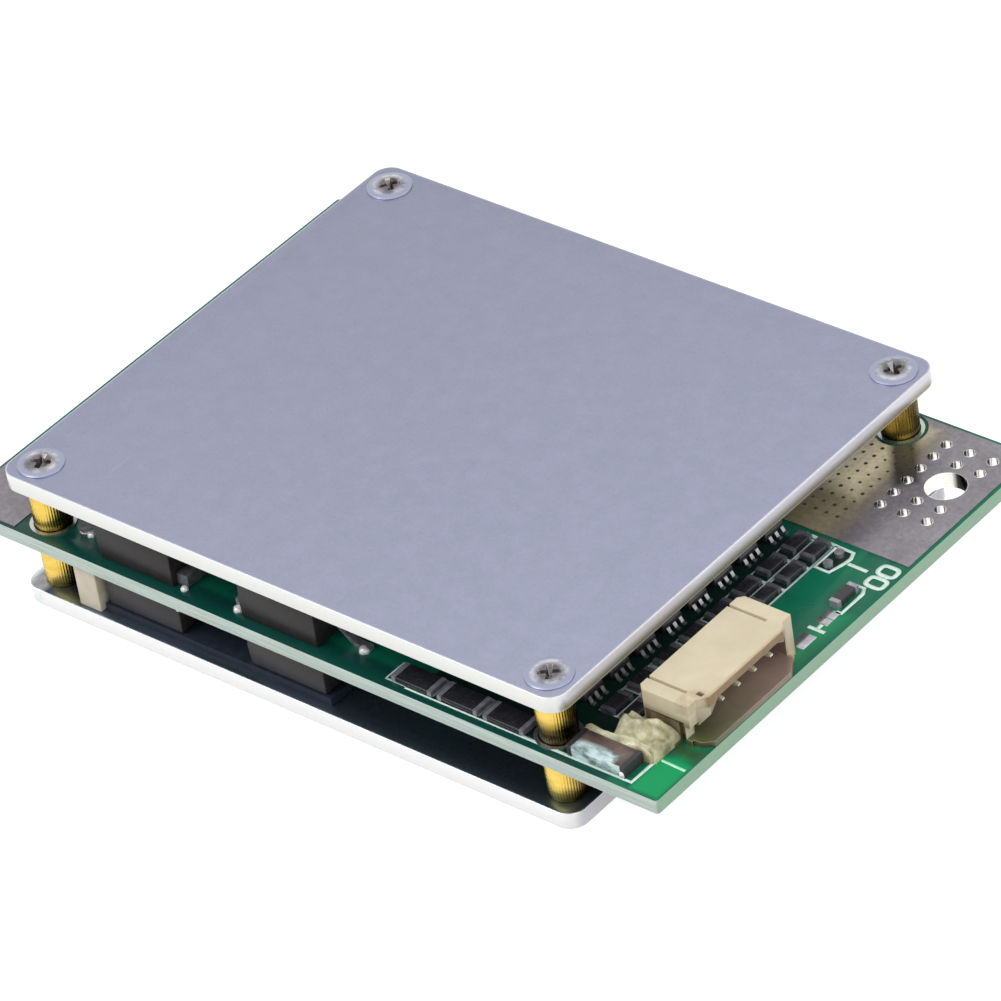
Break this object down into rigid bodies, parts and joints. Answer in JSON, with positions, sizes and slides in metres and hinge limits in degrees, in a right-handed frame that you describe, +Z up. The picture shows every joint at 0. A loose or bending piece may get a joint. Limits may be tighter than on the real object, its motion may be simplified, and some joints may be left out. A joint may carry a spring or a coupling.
{
  "type": "battery management board",
  "caption": "Power circuit board clamped between two flat heat plates on knurled standoffs, with bolt terminals at both ends and a side-entry pin connector.",
  "frame": {"origin": "on the resting surface, under the centre of the circuit board", "axes": "+X towards the connector end, +Y towards the connector end's bolt terminal, +Z up out of the upper heat plate"},
  "size_m": [0.0914, 0.0608, 0.017],
  "materials": {
    "heat_plate": "satin, fine grain, clear anodised",
    "screw_steel": "bright nickel plate",
    "standoff_brass": "machined, straight knurl",
    "board_green": "glass fibre board with a green solder mask",
    "tinned_copper": "dull tin over copper",
    "ring_tin": "bright tin",
    "moulded_black": "moulded epoxy, fine grain",
    "tab_metal": "tinned copper tab",
    "lead_metal": "tinned lead",
    "heat_sheet": "soft grey silicone",
    "housing_ivory": "moulded nylon, semi-gloss",
    "pin_metal": "tinned brass",
    "anchor_metal": "tinned steel",
    "chip_black": "moulded epoxy",
    "resistor_black": "glazed coat",
    "cap_metal": "tinned cap",
    "sense_brown": "dark brown coat",
    "sense_metal": "bright tin",
    "solder_pin": "bright solder",
    "nylon_cream": "natural nylon",
    "adhesive_clear": "cloudy yellowish adhesive"
  },
  "bodies": {
    "root": {"lower_plate": "heat_plate", "upper_plate": "heat_plate", "lower_screws": "screw_steel", "upper_screws": "screw_steel", "lower_standoffs": "standoff_brass", "upper_standoffs": "standoff_brass", "circuit_board": "board_green", "terminal_tinning": "tinned_copper", "far_terminal_tinning": "tinned_copper", "standoff_rings": "ring_tin", "upper_mosfet_1": "moulded_black", "upper_mosfet_2": "moulded_black", "upper_mosfet_3": "moulded_black", "upper_mosfet_4": "moulded_black", "upper_mosfet_5": "moulded_black", "upper_mosfet_6": "moulded_black", "upper_mosfet_7": "moulded_black", "upper_mosfet_8": "moulded_black", "upper_mosfet_9": "moulded_black", "upper_mosfet_10": "moulded_black", "lower_mosfet_1": "moulded_black", "lower_mosfet_2": "moulded_black", "lower_mosfet_3": "moulded_black", "lower_mosfet_4": "moulded_black", "lower_mosfet_5": "moulded_black", "lower_mosfet_6": "moulded_black", "lower_mosfet_7": "moulded_black", "lower_mosfet_8": "moulded_black", "lower_mosfet_9": "moulded_black", "lower_mosfet_10": "moulded_black", "upper_mosfet_tabs": "tab_metal", "lower_mosfet_tabs": "tab_metal", "upper_mosfet_leads": "lead_metal", "lower_mosfet_leads": "lead_metal", "upper_heat_sheet": "heat_sheet", "lower_heat_sheet": "heat_sheet", "connector_housing": "housing_ivory", "connector_pins": "pin_metal", "connector_anchors": "anchor_metal", "balance_chips": "chip_black", "balance_chip_leads": "lead_metal", "filter_resistors": "resistor_black", "filter_resistor_caps": "cap_metal", "bleed_resistors": "resistor_black", "bleed_resistor_caps": "cap_metal", "shunt_resistors": "resistor_black", "shunt_resistor_caps": "cap_metal", "sense_resistor": "sense_brown", "sense_resistor_caps": "sense_metal", "zener_diode": "chip_black", "zener_diode_caps": "cap_metal", "controller_chip": "chip_black", "controller_chip_leads": "lead_metal", "sensor_pins": "solder_pin", "nylon_spacer": "nylon_cream", "adhesive_bead": "adhesive_clear"}
  },
  "joints": []
}
